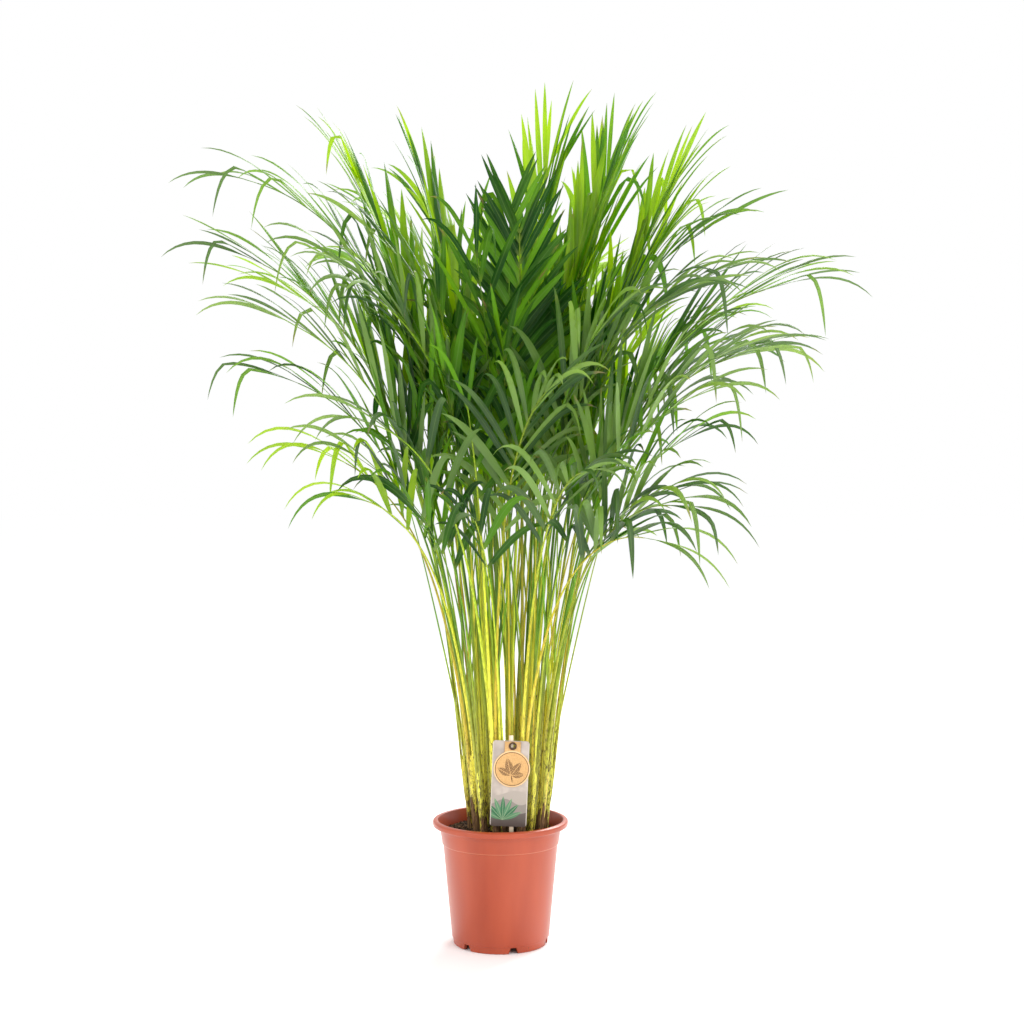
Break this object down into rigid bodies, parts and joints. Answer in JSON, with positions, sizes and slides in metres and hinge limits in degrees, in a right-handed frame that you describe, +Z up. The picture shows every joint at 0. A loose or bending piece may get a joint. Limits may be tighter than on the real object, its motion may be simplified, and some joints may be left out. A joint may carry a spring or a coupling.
{
  "type": "potted palm",
  "caption": "Bushy areca palm, a clump of slender sheathed stems with arching feather fronds, in a round tapered plastic nursery pot with a plant label on a stick.",
  "frame": {"origin": "middle of the pot's underside, on the surface it stands on", "axes": "+Z up along the pot's axis, -Y towards the side with the label, +X to the right seen from there"},
  "size_m": [1.0376, 0.8534, 1.2475],
  "materials": {
    "pot_plastic": "satin terracotta-coloured moulded plastic",
    "peat": "damp crumbly peat with fibres",
    "sheath": "yellow-green sheath, brown and papery at the foot",
    "leaf_deep": "deep green, waxy",
    "leaf_fresh": "fresh light green, waxy",
    "label_plastic": "printed satin plastic",
    "card": "uncoated kraft card, printed",
    "eyelet": "dark bronze lacquer",
    "stick_wood": "pale bare wood"
  },
  "bodies": {
    "root": {"pot": "pot_plastic", "soil": "peat", "stem_01": "sheath", "stem_02": "sheath", "stem_03": "sheath", "stem_04": "sheath", "stem_05": "sheath", "stem_06": "sheath", "stem_07": "sheath", "stem_08": "sheath", "stem_09": "sheath", "stem_10": "sheath", "stem_11": "sheath", "stem_12": "sheath", "stem_13": "sheath", "stem_14": "sheath", "frond_01": "leaf_deep", "frond_02": "leaf_deep", "frond_03": "leaf_fresh", "frond_04": "leaf_fresh", "frond_05": "leaf_fresh", "frond_06": "leaf_fresh", "frond_07": "leaf_fresh", "frond_08": "leaf_fresh", "frond_09": "leaf_fresh", "frond_10": "leaf_fresh", "frond_11": "leaf_fresh", "frond_12": "leaf_deep", "frond_13": "leaf_fresh", "frond_14": "leaf_deep", "frond_15": "leaf_deep", "frond_16": "leaf_deep", "frond_17": "leaf_deep", "frond_18": "leaf_deep", "frond_19": "leaf_deep", "frond_20": "leaf_deep", "frond_21": "leaf_deep", "frond_22": "leaf_deep", "frond_23": "leaf_deep", "frond_24": "leaf_deep", "frond_25": "leaf_deep", "frond_26": "leaf_deep", "frond_27": "leaf_deep", "frond_28": "leaf_deep", "frond_29": "leaf_fresh", "frond_30": "leaf_fresh", "frond_31": "leaf_fresh", "frond_32": "leaf_deep", "frond_33": "leaf_fresh", "frond_34": "leaf_deep", "frond_35": "leaf_deep", "frond_36": "leaf_deep", "frond_37": "leaf_deep", "frond_38": "leaf_deep", "frond_39": "leaf_deep", "frond_40": "leaf_deep", "label": "label_plastic", "card_tag": "card", "eyelet": "eyelet", "label_stick": "stick_wood"}
  },
  "joints": []
}
